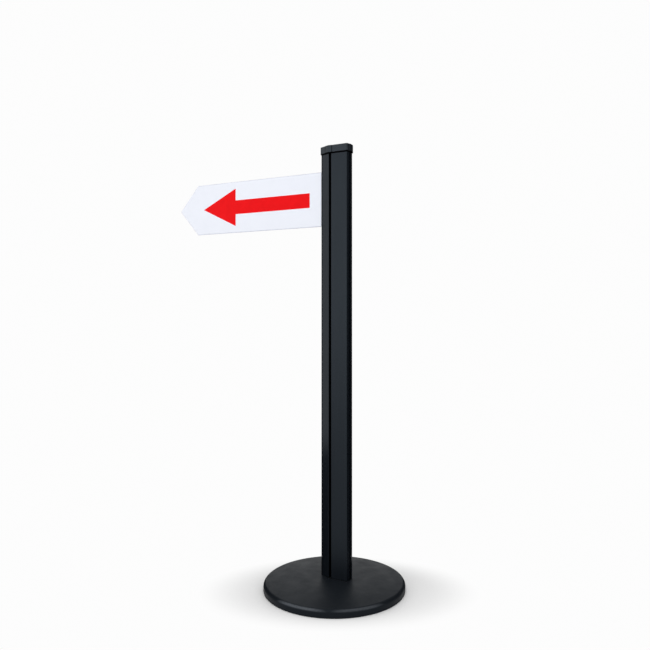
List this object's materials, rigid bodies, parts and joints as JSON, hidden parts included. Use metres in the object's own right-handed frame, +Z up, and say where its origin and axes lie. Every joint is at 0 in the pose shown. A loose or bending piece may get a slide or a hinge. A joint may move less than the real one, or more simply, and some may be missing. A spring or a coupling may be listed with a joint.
{
  "type": "directional sign post",
  "caption": "Free-standing sign post: slotted upright on a round weighted base, moulded cap, and an arrow-shaped sign blade held in the nose slot.",
  "frame": {"origin": "at floor level on the axis of the round base", "axes": "+Z up the post; the sign points along -X; -Y is the side that the picture shows"},
  "size_m": [0.6047, 0.32, 1],
  "materials": {
    "cast_iron": "rough black cast surface",
    "cover_plastic": "black moulded cover, fine texture, satin",
    "black_rubber": "matt black rubber",
    "zinc_steel": "bright zinc",
    "post_coat": "black satin coating",
    "cap_plastic": "black moulded plastic, satin",
    "board_plastic": "white rigid board",
    "print_film": "white satin film with a red arrow",
    "mill_aluminium": "mill finish",
    "stop_plastic": "black moulded block"
  },
  "bodies": {
    "stand": {"base_weight": "cast_iron", "base_cover": "cover_plastic", "floor_ring": "black_rubber", "centre_bolt": "zinc_steel", "spring_washer": "zinc_steel", "centre_washer": "zinc_steel", "foot_plate": "zinc_steel", "foot_plate_screws": "zinc_steel", "foot_seal": "black_rubber", "cover_screws": "zinc_steel", "post_extrusion": "post_coat"},
    "cap": {"top_cap": "cap_plastic"},
    "stop": {"blade_stop": "stop_plastic"},
    "set_screw": {"stop_screw": "zinc_steel"},
    "sign": {"sign_blade": "board_plastic", "sign_face_front": "print_film", "sign_face_rear": "print_film", "blade_rail_front": "mill_aluminium", "blade_rail_rear": "mill_aluminium", "rail_rivets": "mill_aluminium"}
  },
  "joints": [
    {"name": "cap_lift", "type": "slide", "parent": "stand", "child": "cap", "axis": [0, 0, 1], "range_m": [0, 0.06]},
    {"name": "stop_slide", "type": "slide", "parent": "stand", "child": "stop", "axis": [0, 0, 1], "range_m": [-0.777, 0.015]},
    {"name": "sign_lift", "type": "slide", "parent": "stop", "child": "sign", "axis": [0, 0, 1], "range_m": [0, 0.02]},
    {"name": "set_screw_turn", "type": "hinge", "parent": "stop", "child": "set_screw", "pos_m": [-0.0227, 0, 0.812], "axis": [-1, 0, 0], "range_deg": [0, 360]}
  ]
}
